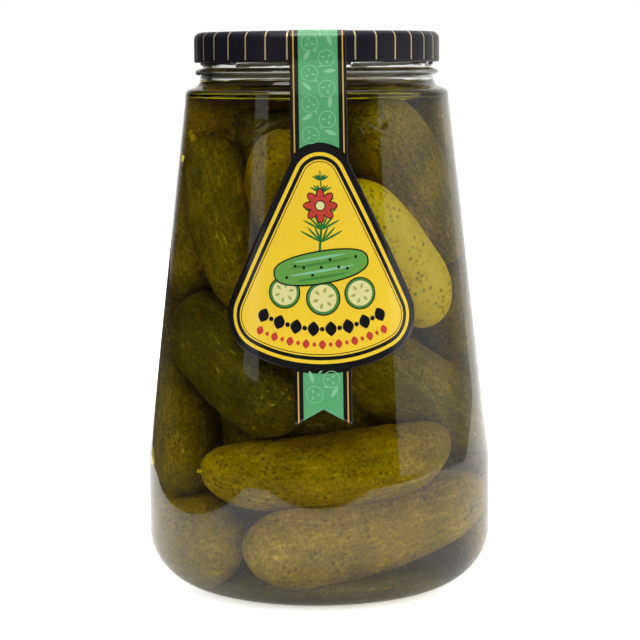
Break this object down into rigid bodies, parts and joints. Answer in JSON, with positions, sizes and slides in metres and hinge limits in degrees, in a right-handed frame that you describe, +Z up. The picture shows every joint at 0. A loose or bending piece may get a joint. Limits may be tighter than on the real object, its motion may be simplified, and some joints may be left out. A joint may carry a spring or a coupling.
{
  "type": "pickle jar",
  "caption": "Tall conical glass jar of whole gherkins in brine, shut by a striped twist-off lid and sealed by a paper label with a strip over the lid.",
  "frame": {"origin": "on the floor under the jar's axis, in the plane of the bearing ring", "axes": "+Z up along the jar's axis, the label faces -Y, +X to the right seen from the front"},
  "size_m": [0.1456, 0.1456, 0.2365],
  "materials": {
    "jar_glass": "clear smooth flint glass",
    "lid_enamel": "glossy blue-black enamel on tinplate with thin gold stripes",
    "label_paper": "printed coated label paper, satin",
    "gherkin": "wet olive green gherkin skin, mottled yellow and dark",
    "brine": "clear pale yellow-green brine"
  },
  "bodies": {
    "root": {"jar_glass": "jar_glass", "lid": "lid_enamel", "label": "label_paper", "pickles": "gherkin"}
  },
  "joints": []
}
